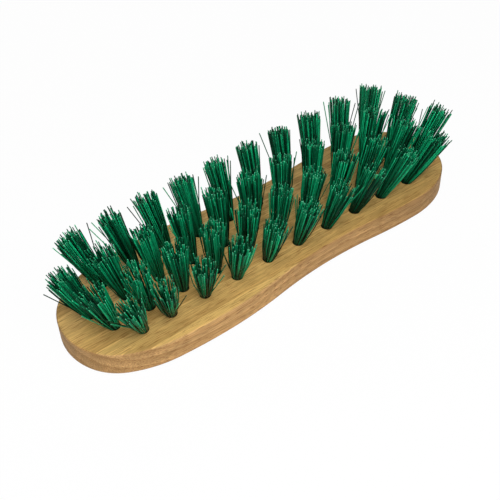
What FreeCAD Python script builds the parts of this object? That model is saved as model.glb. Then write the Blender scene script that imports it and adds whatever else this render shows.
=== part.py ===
import FreeCAD
import Part
import math
import os

# Hand scrub brush: a waisted wooden block with green bristle tufts set in drilled holes.
# Frame: origin at the middle of the block's flat back, +X along the block, +Z out of the tufted face.
# All lengths are in millimetres.

# Wooden block
BLOCK_LENGTH = 210.0
LEFT_LOBE_WIDTH = 63.4
RIGHT_LOBE_WIDTH = 59.0
WAIST_WIDTH = 53.6
WAIST_PLACE = 18.0
LEFT_LOBE_REACH = 47.0
RIGHT_LOBE_REACH = 69.0
BLOCK_THICKNESS = 12.0
FACE_EDGE_RADIUS = 0.8
BACK_EDGE_RADIUS = 2.0
LEFT_SHOULDER_SHARE = 0.763
RIGHT_SHOULDER_SHARE = 0.72

# Rows of tufts, from the front row at -Y to the back row at +Y
ROW_NAMES = ("front", "front_middle", "back_middle", "back")
ROW_COUNTS = (10, 11, 11, 10)
END_MARGIN = 18.6
ROW_PLACE_SHARES = (-0.63, -0.295, 0.14, 0.62)
ROW_SHIFT_SHARES = (-0.2, 0.01, -0.24, 0.0)
CORNER_DRAW_SHARE = 0.18

# Outward lean of the drilled holes, as slopes: along the block, and then row by row
FAN_ALONG_SHARE = 0.28
LEFT_END_FAN_SHARE = 0.165
RIGHT_END_FAN_SHARE = 0.39
ROW_SKEW_SHARES = (-0.07, 0.0, 0.0, 0.0)
ROW_LEAN_SHARES = (-0.36, -0.135, 0.065, 0.28)

# Tufts and their holes
HOLE_DIAMETER = 5.2
HOLE_FLOOR = 3.5
TUFT_CLEARANCE = 0.1
LEFT_BRISTLE_LENGTH = 27.8
RIGHT_BRISTLE_LENGTH = 31.0
TIP_DIAMETER = 11.8
NECK_RISE = 0.3
LOCKS_AROUND = 6
LOCK_RADIUS_SHARE = 0.29
LOCK_TURN_SHARE = 0.38

# Wire staples that hold the folded tufts
STAPLE_WIRE = 0.7
STAPLE_INSET = 0.25
STAPLE_BEND_RADIUS = 0.8
STAPLE_SEAT = 1.2
STAPLE_COVER = 1.5
STAPLE_CLEARANCE = 0.05

# How far a cutting tool runs past the face that it cuts
OVERRUN = 3.0

HOLE_RADIUS = HOLE_DIAMETER / 2
HOLE_DEPTH = BLOCK_THICKNESS - HOLE_FLOOR
TUFT_PITCH = (BLOCK_LENGTH - 2 * END_MARGIN) / (max(ROW_COUNTS) - 1)
STAPLE_HALF_SPAN = HOLE_RADIUS - STAPLE_INSET - STAPLE_WIRE / 2
STAPLE_BRIDGE = STAPLE_SEAT - HOLE_DEPTH
UP = FreeCAD.Vector(0, 0, 1)
RIGHT = FreeCAD.Vector(1, 0, 0)


def end_knots(lobe_width, lobe_reach, shoulder_share, end):
    """Outline points at one end, each with the outline's way there: lobe, shoulder and nose."""
    half_width = lobe_width / 2
    nose_length = BLOCK_LENGTH / 2 - lobe_reach
    shoulder_x = lobe_reach + nose_length * shoulder_share
    lobe = FreeCAD.Vector(end * lobe_reach, half_width, 0)
    shoulder = FreeCAD.Vector(end * shoulder_x, half_width * shoulder_share, 0)
    nose = FreeCAD.Vector(end * BLOCK_LENGTH / 2, 0, 0)
    shoulder_way = FreeCAD.Vector(nose_length, -end * half_width, 0).normalize()
    return [(lobe, RIGHT), (shoulder, shoulder_way), (nose, FreeCAD.Vector(0, -end, 0))]


def arc(start, corner, end):
    """Arc from start to end whose tangents there meet at corner."""
    middle = (start + end) / 2
    bow = start.distanceToPoint(middle) / start.distanceToPoint(corner)
    return Part.Arc(start, middle + (corner - middle) * (bow / (1 + bow)), end).toShape()


def biarc(start_knot, end_knot):
    """Two arcs that join two outline points smoothly."""
    start, start_way = start_knot
    end, end_way = end_knot
    span = end - start
    drift = span.dot(start_way + end_way)
    turn = 1 - start_way.dot(end_way)
    reach = span.dot(span) / (drift + math.sqrt(drift**2 + 2 * turn * span.dot(span)))
    first_corner = start + start_way * reach
    last_corner = end - end_way * reach
    join = (first_corner + last_corner) / 2
    return [arc(start, first_corner, join), arc(join, last_corner, end)]


def block_outline():
    """Waisted outline: smooth arcs along one side, nose to nose, and their mirror image."""
    waist = (FreeCAD.Vector(WAIST_PLACE, WAIST_WIDTH / 2, 0), RIGHT)
    left_knots = end_knots(LEFT_LOBE_WIDTH, LEFT_LOBE_REACH, LEFT_SHOULDER_SHARE, -1)
    right_knots = end_knots(RIGHT_LOBE_WIDTH, RIGHT_LOBE_REACH, RIGHT_SHOULDER_SHARE, 1)
    knots = left_knots[::-1] + [waist] + right_knots
    edges = []
    for start_knot, end_knot in zip(knots, knots[1:]):
        edges += biarc(start_knot, end_knot)
    edges += [edge.mirror(FreeCAD.Vector(0, 0, 0), FreeCAD.Vector(0, 1, 0)) for edge in edges]
    return Part.Wire(Part.__sortEdges__(edges))


def tuft_places():
    """Node name, hole mouth and outward direction of every tuft, row by row."""
    places = []
    for row, row_name in enumerate(ROW_NAMES):
        first = ROW_SHIFT_SHARES[row] - (ROW_COUNTS[row] - 1) / 2
        y = ROW_PLACE_SHARES[row] * WAIST_WIDTH / 2
        for index in range(ROW_COUNTS[row]):
            # The front row's first hole is drawn in from the rounded end of the block.
            draw = CORNER_DRAW_SHARE if row == 0 and index == 0 else 0
            x = (first + index + draw) * TUFT_PITCH
            mouth = FreeCAD.Vector(x, y, BLOCK_THICKNESS)
            places.append((f"{row_name}_tuft_{index + 1:02d}", mouth, lean(row, x)))
    return places


def lean(row, x):
    """Direction of a hole: each row leans its own way, and fans out more at the block's ends."""
    along = x / (BLOCK_LENGTH / 2)
    end_fan = LEFT_END_FAN_SHARE if x < 0 else RIGHT_END_FAN_SHARE
    slope_x = ROW_SKEW_SHARES[row] + FAN_ALONG_SHARE * along + end_fan * along**3
    return FreeCAD.Vector(slope_x, ROW_LEAN_SHARES[row], 1).normalize()


def bristle_length(x):
    """Free length of the bristles, which are trimmed longer towards the right end of the block."""
    share = x / BLOCK_LENGTH + 0.5
    return LEFT_BRISTLE_LENGTH + (RIGHT_BRISTLE_LENGTH - LEFT_BRISTLE_LENGTH) * share


def set_in_hole(shape, mouth, direction):
    """Move a shape from its own axis, with the hole's mouth at zero, to a hole in the block."""
    placed = shape.copy()
    placed.Placement = FreeCAD.Placement(mouth, FreeCAD.Rotation(UP, direction))
    return placed


def make_hole():
    """Cutting tool for one blind hole."""
    return Part.makeCylinder(HOLE_RADIUS, HOLE_DEPTH + OVERRUN, FreeCAD.Vector(0, 0, -HOLE_DEPTH))


def make_staple(clearance):
    """U-shaped wire over the tuft's fold, with both legs in the wood; clearance makes its slot."""
    leg_end = STAPLE_COVER - BLOCK_THICKNESS - clearance
    bow = STAPLE_BEND_RADIUS * (1 - math.sqrt(0.5))
    foot = FreeCAD.Vector(STAPLE_HALF_SPAN, 0, leg_end)
    knee = FreeCAD.Vector(STAPLE_HALF_SPAN, 0, STAPLE_BRIDGE - STAPLE_BEND_RADIUS)
    bend = FreeCAD.Vector(STAPLE_HALF_SPAN - bow, 0, STAPLE_BRIDGE - bow)
    top = FreeCAD.Vector(STAPLE_HALF_SPAN - STAPLE_BEND_RADIUS, 0, STAPLE_BRIDGE)
    far_foot, far_knee, far_bend, far_top = [mirrored(point) for point in (foot, knee, bend, top)]
    path = Part.Wire(
        [
            Part.makeLine(foot, knee),
            Part.Arc(knee, bend, top).toShape(),
            Part.makeLine(top, far_top),
            Part.Arc(far_top, far_bend, far_knee).toShape(),
            Part.makeLine(far_knee, far_foot),
        ]
    )
    section = Part.Wire(Part.makeCircle(STAPLE_WIRE / 2 + clearance, foot, UP))
    return path.makePipeShell([section], True, False)


def mirrored(point):
    """The same point on the other side of a staple."""
    return FreeCAD.Vector(-point.x, point.y, point.z)


def make_lock(turn, reach_share, low, length):
    """One lock of bristles: it rises from the tuft's neck and leans out to the tuft's tip."""
    neck_radius = HOLE_RADIUS - 2 * TUFT_CLEARANCE
    tip_radius = TIP_DIAMETER / 2
    outward = FreeCAD.Vector(math.cos(turn), math.sin(turn), 0) * reach_share
    lean = (tip_radius - neck_radius) * reach_share
    rise = math.sqrt((length - low) ** 2 - lean**2)
    foot = outward * neck_radius + UP * low
    tip = outward * tip_radius + UP * (low + rise)
    neck_lock = neck_radius * LOCK_RADIUS_SHARE
    tip_lock = tip_radius * LOCK_RADIUS_SHARE
    return Part.makeCone(neck_lock, tip_lock, length - low, foot, tip - foot)


def make_locks(number, low, length):
    """A tuft's locks: one in the middle and a ring round it, which turns from tuft to tuft."""
    locks = [make_lock(0, 0, low, length)]
    for index in range(LOCKS_AROUND):
        turn = 2 * math.pi * (index + number * LOCK_TURN_SHARE) / LOCKS_AROUND
        locks.append(make_lock(turn, 1 - LOCK_RADIUS_SHARE, low, length))
    return locks


def make_tuft(number, direction, length, slot):
    """Bundle of bristles: folded between the staple's legs, then spreading in locks."""
    hole_radius = HOLE_RADIUS - TUFT_CLEARANCE
    fold_radius = STAPLE_HALF_SPAN - STAPLE_WIRE / 2 - TUFT_CLEARANCE
    foot = TUFT_CLEARANCE - HOLE_DEPTH
    fold_top = STAPLE_BRIDGE + STAPLE_WIRE / 2 + TUFT_CLEARANCE
    # A leaning hole's wall rises above its mouth on one side, and the locks part above that.
    wall_rise = HOLE_RADIUS * math.hypot(direction.x, direction.y) / direction.z
    corners = [
        FreeCAD.Vector(0, 0, foot),
        FreeCAD.Vector(fold_radius, 0, foot),
        FreeCAD.Vector(fold_radius, 0, fold_top),
        FreeCAD.Vector(hole_radius, 0, fold_top + hole_radius - fold_radius),
        FreeCAD.Vector(hole_radius, 0, wall_rise + NECK_RISE),
        FreeCAD.Vector(0, 0, wall_rise + NECK_RISE),
    ]
    profile = Part.Face(Part.makePolygon(corners + corners[:1]))
    neck = profile.revolve(FreeCAD.Vector(0, 0, 0), UP, 360)
    return neck.fuse(make_locks(number, wall_rise, length)).cut(slot)


def face_height(face):
    """Height of a face's middle above the back of the block."""
    return face.CenterOfMass.z


def make_block(places, slot):
    """Wooden block with softened edges, blind holes and pilot holes for the staples' legs."""
    block = Part.Face(block_outline()).extrude(UP * BLOCK_THICKNESS)
    back = min(block.Faces, key=face_height)
    block = block.makeFillet(BACK_EDGE_RADIUS, back.Edges)
    tufted_face = max(block.Faces, key=face_height)
    block = block.makeFillet(FACE_EDGE_RADIUS, tufted_face.Edges)
    hole = make_hole()
    tools = []
    for _, mouth, direction in places:
        tools.append(set_in_hole(hole, mouth, direction))
        tools.append(set_in_hole(slot, mouth, direction))
    return block.cut(tools)


def main():
    os.makedirs("parts", exist_ok=True)
    places = tuft_places()
    staple = make_staple(0)
    slot = make_staple(STAPLE_CLEARANCE)

    make_block(places, slot).exportStep("parts/wooden_block.step")
    staples = []
    for number, (name, mouth, direction) in enumerate(places):
        tuft = make_tuft(number, direction, bristle_length(mouth.x), slot)
        set_in_hole(tuft, mouth, direction).exportStep(f"parts/{name}.step")
        staples.append(set_in_hole(staple, mouth, direction))
    Part.makeCompound(staples).exportStep("parts/tuft_staples.step")


main()
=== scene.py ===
# %% [markdown]
# # Scrub brush
# A hand scrub brush is a wooden block with tufts of stiff bristle set in drilled holes. Each tuft
# is folded round a wire staple at the bottom of its hole. The block and the staples keep their CAD
# shapes and get materials. The CAD tufts are solids with a few thick locks, so each one is rebuilt
# here from single bristles. Lengths are in metres in the CAD frame: +X runs along the block, and +Z
# points out of its tufted face.

import math

import bpy
import numpy as np
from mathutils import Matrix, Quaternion, Vector


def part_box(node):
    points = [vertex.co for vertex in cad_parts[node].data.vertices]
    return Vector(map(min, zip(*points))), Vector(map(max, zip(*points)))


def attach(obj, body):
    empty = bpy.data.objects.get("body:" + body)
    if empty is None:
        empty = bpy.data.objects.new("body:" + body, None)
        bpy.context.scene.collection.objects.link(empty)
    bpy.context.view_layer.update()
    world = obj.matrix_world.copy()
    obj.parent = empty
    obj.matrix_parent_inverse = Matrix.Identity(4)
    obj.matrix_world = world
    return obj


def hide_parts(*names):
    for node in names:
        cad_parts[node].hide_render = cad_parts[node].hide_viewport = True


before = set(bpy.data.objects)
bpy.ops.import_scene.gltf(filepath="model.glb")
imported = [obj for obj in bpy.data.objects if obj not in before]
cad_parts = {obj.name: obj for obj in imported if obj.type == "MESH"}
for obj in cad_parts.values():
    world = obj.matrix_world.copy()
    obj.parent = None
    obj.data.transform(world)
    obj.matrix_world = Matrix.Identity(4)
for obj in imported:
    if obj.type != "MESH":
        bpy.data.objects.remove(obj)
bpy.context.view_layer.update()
bpy.ops.object.select_all(action="DESELECT")
tuft_nodes = sorted(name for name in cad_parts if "_tuft_" in name)
print("tufts to rebuild:", len(tuft_nodes))

# %% [markdown]
# ## Camera
# The photograph looks down on the brush from the front, past its left end. A camera can be dragged
# until the picture fits, but an azimuth, an elevation and a distance say the same thing in numbers
# that can be read and changed. A small roll levels the picture as the photograph is levelled.

# %% Place the camera
CAMERA_TARGET = Vector((-0.0148, -0.0072, 0.012))
CAMERA_DISTANCE = 0.3924
CAMERA_AZIMUTH = -36.69
CAMERA_ELEVATION = 42.12
CAMERA_ROLL = -2.23
CAMERA_LENS = 63.15
CAMERA_NEAR_LIMIT = 0.01


def outward(azimuth, elevation):
    """Unit vector from the object to where an azimuth and an elevation in degrees point."""
    turn, rise = math.radians(azimuth), math.radians(elevation)
    level = math.cos(rise)
    return Vector((math.sin(turn) * level, -math.cos(turn) * level, math.sin(rise)))


def facing(direction):
    """Rotation that turns a lamp or a camera to look along a direction."""
    return direction.to_track_quat("-Z", "Y")


camera_side = outward(CAMERA_AZIMUTH, CAMERA_ELEVATION)
camera_turn = facing(-camera_side) @ Quaternion((0, 0, 1), math.radians(CAMERA_ROLL))
bpy.ops.object.camera_add(
    location=CAMERA_TARGET + camera_side * CAMERA_DISTANCE, rotation=camera_turn.to_euler()
)
camera = bpy.context.object
camera.data.lens = CAMERA_LENS
camera.data.clip_start = CAMERA_NEAR_LIMIT
bpy.context.scene.camera = camera
bpy.context.scene.view_settings.view_transform = "Standard"
print("camera at", [round(length, 4) for length in camera.location])

# %% [markdown]
# ## Studio
# The brush was photographed on white, with soft light from above and from the front. A white floor
# lit until it clips would also bleach the wood. So the floor is an ordinary white surface for the
# light that bounces off it, and mostly plain white where it is seen, straight or in a reflection.
# What is left of the ordinary surface keeps a faint shadow under the block. Two soft lamps stand in
# front and one hangs over the left end. A fourth one lights the back for views from behind.

# %% Helpers for node trees
def new_material(name):
    """A material whose node tree is still empty."""
    material = bpy.data.materials.new(name)
    material.use_nodes = True
    material.node_tree.nodes.clear()
    return material


def add_node(tree, kind, sockets=None):
    """Add a node, and give each named input a value or a link from another node's output."""
    node = tree.nodes.new(kind)
    for name, value in (sockets or {}).items():
        if isinstance(value, bpy.types.NodeSocket):
            tree.links.new(value, node.inputs[name])
        else:
            node.inputs[name].default_value = value
    return node


def add_math(tree, operation, *values):
    """The result of one step of arithmetic."""
    node = add_node(tree, "ShaderNodeMath", dict(enumerate(values)))
    node.operation = operation
    return node.outputs[0]


def colour(red, green, blue):
    """A colour as an image editor gives it, from 0 to 255, for a node's colour socket."""
    shares = [level / 255 for level in (red, green, blue)]
    linear = [s / 12.92 if s <= 0.04045 else ((s + 0.055) / 1.055) ** 2.4 for s in shares]
    return (*linear, 1)


print("middle grey in a node:", [round(level, 3) for level in colour(128, 128, 128)])

# %% White floor
FLOOR_SIZE = 6.0
FLOOR_WHITE = colour(235, 235, 235)
PLAIN_WHITE = (1, 1, 1, 1)
WHITE_SHARE = 0.97


def background_rays(tree):
    """1 for rays that see the background, straight or in a reflection, and 0 for others."""
    path = add_node(tree, "ShaderNodeLightPath")
    seen = path.outputs["Is Camera Ray"]
    for kind in ("Is Glossy Ray", "Is Transmission Ray"):
        seen = add_math(tree, "MAXIMUM", seen, path.outputs[kind])
    return seen


floor_white = new_material("studio_white")
tree = floor_white.node_tree
matt = add_node(tree, "ShaderNodeBsdfDiffuse", {"Color": FLOOR_WHITE})
glow = add_node(tree, "ShaderNodeEmission", {"Color": PLAIN_WHITE, "Strength": 1.0})
plain = add_math(tree, "MULTIPLY", background_rays(tree), WHITE_SHARE)
surface = add_node(
    tree, "ShaderNodeMixShader", {0: plain, 1: matt.outputs[0], 2: glow.outputs[0]}
)
add_node(tree, "ShaderNodeOutputMaterial", {"Surface": surface.outputs[0]})

bpy.ops.mesh.primitive_plane_add(size=FLOOR_SIZE)
floor = bpy.context.object
floor.name = "studio_floor"
floor.data.materials.append(floor_white)
print("floor:", floor.dimensions.to_tuple(2))

# %% White surroundings
ROOM_LIGHT = 0.05

world = bpy.data.worlds.new("studio_room")
bpy.context.scene.world = world
world.use_nodes = True
tree = world.node_tree
tree.nodes.clear()
room = add_node(tree, "ShaderNodeBackground", {"Color": PLAIN_WHITE, "Strength": ROOM_LIGHT})
backdrop = add_node(tree, "ShaderNodeBackground", {"Color": PLAIN_WHITE, "Strength": 1.0})
surroundings = add_node(
    tree,
    "ShaderNodeMixShader",
    {0: background_rays(tree), 1: room.outputs[0], 2: backdrop.outputs[0]},
)
add_node(tree, "ShaderNodeOutputWorld", {"Surface": surroundings.outputs[0]})
print("room light:", ROOM_LIGHT)

# %% Soft lamps
def softbox(name, azimuth, elevation, distance, size, power):
    """A square soft lamp that looks at the brush."""
    side = outward(azimuth, elevation)
    bpy.ops.object.light_add(
        type="AREA", location=side * distance, rotation=facing(-side).to_euler()
    )
    lamp = bpy.context.object
    lamp.name = name
    lamp.data.size = size
    lamp.data.energy = power


softbox("front_softbox", azimuth=-24, elevation=54, distance=0.4, size=0.28, power=1.5)
softbox("low_softbox", azimuth=-40, elevation=18, distance=0.7, size=0.3, power=1.0)
softbox("top_softbox", azimuth=-80, elevation=72, distance=1.2, size=0.6, power=1.2)
softbox("back_softbox", azimuth=160, elevation=25, distance=1.0, size=0.5, power=3.2)

# %% [markdown]
# ## Uneven surfaces
# Wood, plastic and wire all vary a little from place to place. Each material could have its own
# noise for that, but the effect is the same: a soft noise between a low and a high value. So it is
# built once as a node group, and each material places it with its own stretch and its own limits.

# %% Group for uneven values
NOISE_DETAIL = 3.0
NOISE_LOW = 0.3
NOISE_HIGH = 0.7


def add_ramp(tree, value, start, end, low, high):
    """A value that runs from low to high while the given one runs from start to end."""
    node = add_node(
        tree,
        "ShaderNodeMapRange",
        {"Value": value, "From Min": start, "From Max": end, "To Min": low, "To Max": high},
    )
    return node.outputs[0]


def build_unevenness():
    """A node group that puts out a noise value between Low and High."""
    group = bpy.data.node_groups.new("unevenness", "ShaderNodeTree")
    inputs = {"Vector": "NodeSocketVector", "Low": "NodeSocketFloat", "High": "NodeSocketFloat"}
    for name, kind in inputs.items():
        group.interface.new_socket(name, in_out="INPUT", socket_type=kind)
    group.interface.new_socket("Value", in_out="OUTPUT", socket_type="NodeSocketFloat")
    given = add_node(group, "NodeGroupInput").outputs
    noise = add_node(
        group,
        "ShaderNodeTexNoise",
        {"Vector": given["Vector"], "Scale": 1.0, "Detail": NOISE_DETAIL},
    )
    limited = add_ramp(
        group, noise.outputs[0], NOISE_LOW, NOISE_HIGH, low=given["Low"], high=given["High"]
    )
    add_node(group, "NodeGroupOutput", {"Value": limited})
    return group


unevenness = build_unevenness()
print("group:", unevenness.name)

# %% Place the group in a material
def add_unevenness(tree, place, stretch, low, high):
    """Place the group: stretch gives how many spots there are in a metre along X, Y and Z."""
    mapping = add_node(tree, "ShaderNodeMapping", {"Vector": place, "Scale": stretch})
    node = tree.nodes.new("ShaderNodeGroup")
    node.node_tree = unevenness
    tree.links.new(mapping.outputs[0], node.inputs["Vector"])
    node.inputs["Low"].default_value = low
    node.inputs["High"].default_value = high
    return node.outputs["Value"]


print("it takes", [socket.name for socket in unevenness.interface.items_tree])

# %% [markdown]
# ## Wood
# The block is a pale hardwood with its grain along its length. A pattern painted on each face would
# break at the edges. A solid pattern runs through the block as real growth rings do: here they are
# rings round a pith that lies under the block, so the faces show long streaks and the rounded ends
# show arcs. Fine fibres and short dark pores lie over the rings, and the block turns slowly lighter
# and darker along its length. The moulded edge is pinker and greyer than the planed face, and
# darker
# as well: that darker part is painted shade on the sides.

# %% Growth rings
PITH_OFFSET = (0, -0.01, 0.075)
PITH_STRETCH = (0.06, 1, 1)
RING_WAVE = {"Scale": 62.0, "Distortion": 7.0, "Detail": 2.0, "Detail Scale": 0.8}
EARLY_WOOD = colour(220, 181, 109)
LATE_WOOD = colour(193, 153, 88)


def add_mix(tree, share, first, second, blend="MIX"):
    """A mix of two colours. With MULTIPLY the second one tints the first."""
    node = add_node(tree, "ShaderNodeMixRGB", {0: share, 1: first, 2: second})
    node.blend_type = blend
    return node.outputs[0]


def add_rings(tree, place):
    """Colour of growth rings round a pith along X."""
    pith = add_node(
        tree,
        "ShaderNodeMapping",
        {"Vector": place, "Location": PITH_OFFSET, "Scale": PITH_STRETCH},
    )
    rings = add_node(tree, "ShaderNodeTexWave", {"Vector": pith.outputs[0], **RING_WAVE})
    rings.wave_type = "RINGS"
    rings.rings_direction = "X"
    rings.wave_profile = "SAW"
    return add_mix(tree, rings.outputs["Fac"], EARLY_WOOD, LATE_WOOD)


print("rings:", RING_WAVE)

# %% Fibres, drift and pores
FIBRE_STRETCH = (70, 2400, 2400)
STREAK_STRETCH = (10, 220, 220)
DRIFT_WAVE = {"Scale": 1.65, "Distortion": 0.6, "Phase Offset": 4.46}
PORE_STRETCH = (200, 2800, 2800)
PORE_BROWN = colour(140, 98, 52)


def add_grain(tree, place):
    """Value of the fibres and streaks along the wood."""
    fibres = add_unevenness(tree, place, FIBRE_STRETCH, low=0.68, high=1.2)
    streaks = add_unevenness(tree, place, STREAK_STRETCH, low=0.82, high=1.13)
    return add_math(tree, "MULTIPLY", fibres, streaks)


def add_planed_wood(tree, place, grain):
    """Colour of the rings, toned by the grain and a slow drift, with dark pores."""
    # Slow waves that make the block lighter and darker along its length.
    bands = add_node(tree, "ShaderNodeTexWave", {"Vector": place, **DRIFT_WAVE})
    drift = add_ramp(tree, bands.outputs["Fac"], start=0.0, end=1.0, low=0.93, high=1.06)
    tone = add_math(tree, "MULTIPLY", grain, drift)
    toned = add_mix(tree, 1.0, add_rings(tree, place), tone, "MULTIPLY")
    pores = add_unevenness(tree, place, PORE_STRETCH, low=-1.4, high=0.95)
    pore_mask = add_node(tree, "ShaderNodeClamp", {"Value": pores})
    return add_mix(tree, pore_mask.outputs[0], toned, PORE_BROWN)


print("fibres in a metre:", FIBRE_STRETCH, "pores in a metre:", PORE_STRETCH)

# %% Wood material
EDGE_TINT_AND_SHADE = colour(224, 217, 238)
FLAT_START = 0.7
SHEEN_STRETCH = (30, 400, 400)
GRAIN_RELIEF = {"Strength": 0.25, "Distance": 0.0002}


def build_wood():
    """Sanded hardwood, planed on its faces and moulded round its edge."""
    material = new_material("sanded_hardwood")
    tree = material.node_tree
    coordinates = add_node(tree, "ShaderNodeTexCoord")
    place = coordinates.outputs["Object"]
    grain = add_grain(tree, place)
    planed = add_planed_wood(tree, place, grain)
    # The edge tint is partly the moulded surface's own pinker, greyer colour and partly painted
    # shade on the sides.
    moulded = add_mix(tree, 1.0, planed, EDGE_TINT_AND_SHADE, "MULTIPLY")

    normal = add_node(tree, "ShaderNodeSeparateXYZ", {0: coordinates.outputs["Normal"]})
    upward = add_math(tree, "ABSOLUTE", normal.outputs["Z"])
    flat = add_ramp(tree, upward, start=FLAT_START, end=1.0, low=0.0, high=1.0)
    relief = add_node(tree, "ShaderNodeBump", {"Height": grain, **GRAIN_RELIEF})
    shader = add_node(
        tree,
        "ShaderNodeBsdfPrincipled",
        {
            "Base Color": add_mix(tree, flat, moulded, planed),
            "Roughness": add_unevenness(tree, place, SHEEN_STRETCH, low=0.5, high=0.68),
            "Specular IOR Level": 0.1,
            "Normal": relief.outputs[0],
        },
    )
    add_node(tree, "ShaderNodeOutputMaterial", {"Surface": shader.outputs[0]})
    return material


def dress(node, material):
    """Give a CAD node a material in all its slots."""
    cad_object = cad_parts[node]
    for slot in cad_object.material_slots:
        slot.material = material


dress("wooden_block", build_wood())
print("wood on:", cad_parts["wooden_block"].material_slots[0].material.name)

# %% [markdown]
# ## Staples
# A staple is a short U of drawn steel wire. It is out of sight at the bottom of its hole, but the
# part may be opened or cut later. A plain grey would do for that, but a bright metal with a few
# dull spots costs no more and looks like wire.

# %% Wire material
BRIGHT_STEEL = colour(205, 205, 202)
DULL_STEEL = colour(176, 174, 168)
SPOT_STRETCH = (700, 700, 700)
POLISH_STRETCH = (2500, 2500, 2500)


def build_wire():
    """Bright drawn steel wire."""
    material = new_material("drawn_steel_wire")
    tree = material.node_tree
    place = add_node(tree, "ShaderNodeTexCoord").outputs["Object"]
    spots = add_unevenness(tree, place, SPOT_STRETCH, low=0.0, high=1.0)
    shader = add_node(
        tree,
        "ShaderNodeBsdfPrincipled",
        {
            "Base Color": add_mix(tree, spots, BRIGHT_STEEL, DULL_STEEL),
            "Roughness": add_unevenness(tree, place, POLISH_STRETCH, low=0.25, high=0.45),
            "Metallic": 1.0,
        },
    )
    add_node(tree, "ShaderNodeOutputMaterial", {"Surface": shader.outputs[0]})
    return material


dress("tuft_staples", build_wire())
print("wire on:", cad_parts["tuft_staples"].material_slots[0].material.name)

# %% [markdown]
# ## One bristle
# A bristle is a half-millimetre plastic filament, cut square at its end. A plain cylinder has no
# points between its ends, so it can't bend. Here a small six-sided disc is extruded upward step by
# step: first out of the hole, then along the free length, and last a short step that shrinks to a
# softened cut. Six sides are enough for something a pixel wide.

# %% Model one bristle
BRISTLE_RADIUS = 0.00023
BRISTLE_SIDES = 6
ROOT_DEPTH = 0.0082
NECK_HEIGHT = 0.0005
FREE_LENGTH = 0.028
FREE_STEP_SHARES = (0.2, 0.3, 0.5)
CUT_HEIGHT = 0.0001
CUT_SHRINK = 0.8


def rise(height):
    """Extrude the selected end of a bristle upward."""
    bpy.ops.mesh.extrude_region_move(TRANSFORM_OT_translate={"value": (0, 0, height)})


bpy.ops.mesh.primitive_circle_add(
    vertices=BRISTLE_SIDES, radius=BRISTLE_RADIUS, fill_type="NGON", location=(0, 0, -ROOT_DEPTH)
)
bristle = bpy.context.object
bristle.name = "bristle"
bpy.ops.object.transform_apply(location=True)
bpy.ops.object.mode_set(mode="EDIT")
bpy.ops.mesh.select_all(action="SELECT")
rise(ROOT_DEPTH + NECK_HEIGHT)
for share in FREE_STEP_SHARES:
    rise((FREE_LENGTH - NECK_HEIGHT - CUT_HEIGHT) * share)
rise(CUT_HEIGHT)
bpy.ops.transform.resize(value=(CUT_SHRINK, CUT_SHRINK, 1))
bpy.ops.mesh.select_all(action="SELECT")
bpy.ops.mesh.normals_make_consistent(inside=False)
bpy.ops.object.mode_set(mode="OBJECT")
bpy.ops.object.shade_smooth()
print("bristle:", len(bristle.data.polygons), "faces")
print("its length in mm:", round(bristle.dimensions.z * 1000, 2))

# %% [markdown]
# ## Bundle
# A tuft holds about a hundred bristles. They all start as copies of the one bristle, and an Array
# modifier makes them in one go. Two values are kept on their points for the material: how far along
# the bristle a point is, and a tone that differs from bristle to bristle. The first is the same for
# every tuft, so it is kept here. The second is given when a tuft is built.

# %% Copy the bristle into a bundle
STRANDS = 100

along = bristle.data.attributes.new("along", "FLOAT", "POINT")
heights = np.array([vertex.co.z for vertex in bristle.data.vertices])
along.data.foreach_set("value", np.clip(heights / FREE_LENGTH, 0, 1))
bristle_points = np.array([vertex.co for vertex in bristle.data.vertices])

copies = bristle.modifiers.new("copies", "ARRAY")
copies.count = STRANDS
copies.use_relative_offset = False
bpy.ops.object.modifier_apply(modifier=copies.name)
bundle = bristle
bundle.name = "bundle"
print("bundle:", len(bundle.data.vertices) // len(bristle_points), "bristles")

# %% [markdown]
# ## Bristle plastic
# The filaments are deep green plastic with a faint gloss. One green for all of them would melt each
# tuft into one lump, so the tone attribute makes some filaments lighter and some darker. The lower
# halves are darker, as little light gets in there, and close to the hole they are almost black. The
# cut ends are paler: partly their own colour, partly a painted highlight of the light from above.

# %% Bristle material
DARK_GREEN = colour(4, 41, 25)
LIGHT_GREEN = colour(20, 176, 117)
HOLE_GREEN = colour(1, 10, 7)
CUT_END_AND_HIGHLIGHT_GREEN = colour(104, 196, 156)
SPECKLE_STRETCH = (500, 500, 500)
GLOSS_STRETCH = (300, 300, 300)
SHADE_END = 0.7
HOLE_SHADE_END = 0.08
CUT_START = 0.985


def add_attribute(tree, name):
    """A value that is kept on the points of a mesh."""
    node = add_node(tree, "ShaderNodeAttribute")
    node.attribute_name = name
    return node.outputs["Fac"]


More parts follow.
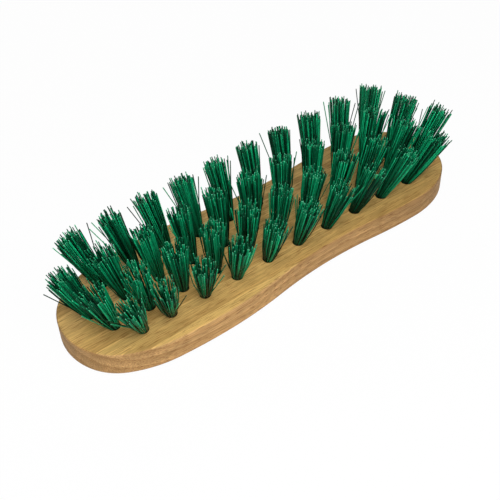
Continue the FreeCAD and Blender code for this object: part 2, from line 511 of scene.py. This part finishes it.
def build_plastic():
    """Green extruded filament."""
    material = new_material("green_filament")
    tree = material.node_tree
    place = add_node(tree, "ShaderNodeTexCoord").outputs["Object"]
    tone = add_attribute(tree, "tone")
    along = add_attribute(tree, "along")

    greens = add_mix(tree, tone, DARK_GREEN, LIGHT_GREEN)
    speckle = add_unevenness(tree, place, SPECKLE_STRETCH, low=0.8, high=1.15)
    varied = add_mix(tree, 1.0, greens, speckle, "MULTIPLY")
    shade = add_ramp(tree, along, start=0.0, end=SHADE_END, low=0.4, high=1.0)
    shaded = add_mix(tree, 1.0, varied, shade, "MULTIPLY")
    hole_shade = add_ramp(tree, along, start=0.0, end=HOLE_SHADE_END, low=0.95, high=0.0)
    rooted = add_mix(tree, hole_shade, shaded, HOLE_GREEN)
    # Paler cut ends: partly their own colour, partly a painted highlight of the light from above.
    cut = add_ramp(tree, along, start=CUT_START, end=1.0, low=0.0, high=0.8)
    pale_cut_and_highlight = add_math(tree, "MULTIPLY", cut, tone)
    shader = add_node(
        tree,
        "ShaderNodeBsdfPrincipled",
        {
            "Base Color": add_mix(tree, pale_cut_and_highlight, rooted, CUT_END_AND_HIGHLIGHT_GREEN),
            "Roughness": add_unevenness(tree, place, GLOSS_STRETCH, low=0.16, high=0.3),
            "Specular IOR Level": 0.05,
        },
    )
    add_node(tree, "ShaderNodeOutputMaterial", {"Surface": shader.outputs[0]})
    return material


bundle.data.materials.clear()
bundle.data.materials.append(build_plastic())
print("plastic on:", bundle.data.materials[0].name)

# %% [markdown]
# ## Tufts
# Each tuft leans along its drilled hole, and its bristles spread from the hole to a wider, ragged
# end, in loose locks. The CAD solid of a tuft has a round foot and seven locks with flat ends, so
# the middle of the foot and the middle of those ends give its line, and the ends that lie furthest
# out give the turn of the locks. In the hole the bristles are packed as evenly as seeds on a
# sunflower head. Above it every bristle gets its own lean, bow and length, and is drawn a little to
# the nearest lock. A few strays leave the rim in straight lines, and tufts near the block's ends
# spread a little wider. This can't be dragged by hand forty-two times, so it is worked out for all
# points of a tuft at once.

# %% Read a tuft's line and locks from its CAD solid
UPRIGHT = Vector((0, 0, 1))
SAME_POINT_DIGITS = 7
FOOT_ZONE = 0.00023
TIP_ZONE = 0.0007
LOCKS_AROUND = 6
RIM_SHARE = 0.9
block_end, _, block_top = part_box("wooden_block")[1]


def read_tuft(node):
    """A tuft's mouth on the block's face, the rotation to its line, its length and locks' turn."""
    corners = [vertex.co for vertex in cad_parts[node].data.vertices]
    points = np.unique(np.round(corners, SAME_POINT_DIGITS), axis=0)
    spread = np.linalg.svd(points - points.mean(axis=0), full_matrices=False)[2][0]
    heights = points @ spread * np.sign(spread[2])
    foot = Vector(points[heights < heights.min() + FOOT_ZONE].mean(axis=0))
    ends = points[heights > heights.max() - TIP_ZONE]
    direction = (Vector(ends.mean(axis=0)) - foot).normalized()
    mouth = foot + direction * ((block_top - foot.z) / direction.z)
    rotation = np.array(UPRIGHT.rotation_difference(direction).to_matrix())

    ends = (ends - np.array(mouth)) @ rotation
    length = ends[:, 2].mean()
    radii = np.hypot(ends[:, 0], ends[:, 1])
    rim = ends[radii > RIM_SHARE * radii.max()]
    waves = np.exp(1j * LOCKS_AROUND * np.arctan2(rim[:, 1], rim[:, 0]))
    return np.array(mouth), rotation, length, np.angle(waves.sum()) / LOCKS_AROUND


for node in (tuft_nodes[0], tuft_nodes[-1]):
    mouth, rotation, length, turn = read_tuft(node)
    lean = math.degrees(math.acos(rotation[2, 2]))
    print(node, np.round(mouth, 4), "leans", round(lean, 1), "long", round(length, 4))
    print("its locks are turned by", round(math.degrees(turn), 1))

# %% Spread the bristles of one tuft
PACK_RADIUS = 0.00234
TIP_RADIUS = 0.0056
FLARE_POWER = 1.5
TIP_JITTER = 0.0005
LOCK_REACH_SHARE = 0.68
LOCK_JITTER = 0.0004
LOCK_PULL = 0.15
STRAY_SHARE = 0.03
STRAY_LOW = 1.15
STRAY_HIGH = 1.6
BOW_JITTER = 0.0005
LENGTH_JITTER = 0.034
WIRE_TOP = 0.0067
WIRE_SIDE = 0.0007
GOLDEN_ANGLE = math.pi * (3 - math.sqrt(5))


def lock_places(turn, tip_radius, chance):
    """Middles of a tuft's locks at its tip, each a little out of place."""
    angles = turn + 2 * math.pi * np.arange(LOCKS_AROUND) / LOCKS_AROUND
    ring = tip_radius * LOCK_REACH_SHARE * np.stack([np.cos(angles), np.sin(angles)], axis=1)
    places = np.concatenate([np.zeros((1, 2)), ring])
    return places + chance.normal(0, LOCK_JITTER, places.shape)


def spread_bristles(length, lock_turn, tip_radius, seed):
    """Points of one tuft's bristles, with the hole's mouth at zero and the tuft's line along Z."""
    chance = np.random.default_rng(seed)
    order = np.arange(STRANDS) + 0.5
    turn = order * GOLDEN_ANGLE + chance.uniform(0, 2 * math.pi)
    ray = np.sqrt(order / STRANDS)[:, None] * np.stack([np.cos(turn), np.sin(turn)], axis=1)
    seat = ray * PACK_RADIUS

    tip = ray * tip_radius + chance.normal(0, TIP_JITTER, (STRANDS, 2))
    locks = lock_places(lock_turn, tip_radius, chance)
    nearest = np.linalg.norm(tip[:, None] - locks, axis=2).argmin(axis=1)
    tip += LOCK_PULL * (locks[nearest] - tip)
    strays = chance.random(STRANDS) < STRAY_SHARE
    stray_ray = ray[strays] / np.linalg.norm(ray[strays], axis=1, keepdims=True)
    stray_reach = chance.uniform(STRAY_LOW, STRAY_HIGH, (strays.sum(), 1))
    tip[strays] = stray_ray * tip_radius * stray_reach
    bow = chance.normal(0, BOW_JITTER, (STRANDS, 2))
    lean = tip - seat - bow

    free = length - NECK_HEIGHT
    reach = free * (1 + chance.normal(0, LENGTH_JITTER, STRANDS))
    reach = np.sqrt(reach**2 - np.sum((tip - seat) ** 2, axis=1))

    height = bristle_points[:, 2]
    share = np.clip((height - NECK_HEIGHT) / (FREE_LENGTH - NECK_HEIGHT), 0, 1)[:, None]
    power = np.where(strays, 1, FLARE_POWER)[:, None, None]
    flare = 1 - (1 - share) ** power
    line = seat[:, None] + lean[:, None] * flare + bow[:, None] * share**2
    across = line + bristle_points[:, :2]
    root = np.where(np.abs(seat[:, 1]) > WIRE_SIDE, -ROOT_DEPTH, -WIRE_TOP)
    up = np.clip(height, root[:, None], NECK_HEIGHT) + share.T * reach[:, None]
    return np.concatenate([across, up[..., None]], axis=2).reshape(-1, 3)


sample = spread_bristles(FREE_LENGTH, lock_turn=0, tip_radius=TIP_RADIUS, seed=0)
print("one tuft in mm:", np.round((sample.max(axis=0) - sample.min(axis=0)) * 1000, 1))

# %% Build every tuft
END_SPREAD_SHARE = 0.22
TONE_POWER = 1.8


def build_tuft(node, seed):
    """A tuft of single bristles in place of a CAD tuft."""
    mouth, rotation, length, lock_turn = read_tuft(node)
    tuft = bundle.copy()
    tuft.data = bundle.data.copy()
    tuft.name = node.replace("tuft", "bristles")
    bpy.context.scene.collection.objects.link(tuft)
    tip_radius = TIP_RADIUS * (1 + END_SPREAD_SHARE * (mouth[0] / block_end) ** 2)
    points = spread_bristles(length, lock_turn, tip_radius, seed) @ rotation.T + mouth
    tuft.data.vertices.foreach_set("co", points.ravel())
    tones = np.random.default_rng(seed + len(tuft_nodes)).random(STRANDS) ** TONE_POWER
    tone = tuft.data.attributes.new("tone", "FLOAT", "POINT")
    tone.data.foreach_set("value", np.repeat(tones, len(bristle_points)))
    tuft.data.update()
    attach(tuft, "root")
    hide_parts(node)
    return tuft


tufts = [build_tuft(node, seed) for seed, node in enumerate(tuft_nodes)]
bpy.data.objects.remove(bundle)
print("tufts:", len(tufts), "with", sum(len(tuft.data.polygons) for tuft in tufts), "faces")
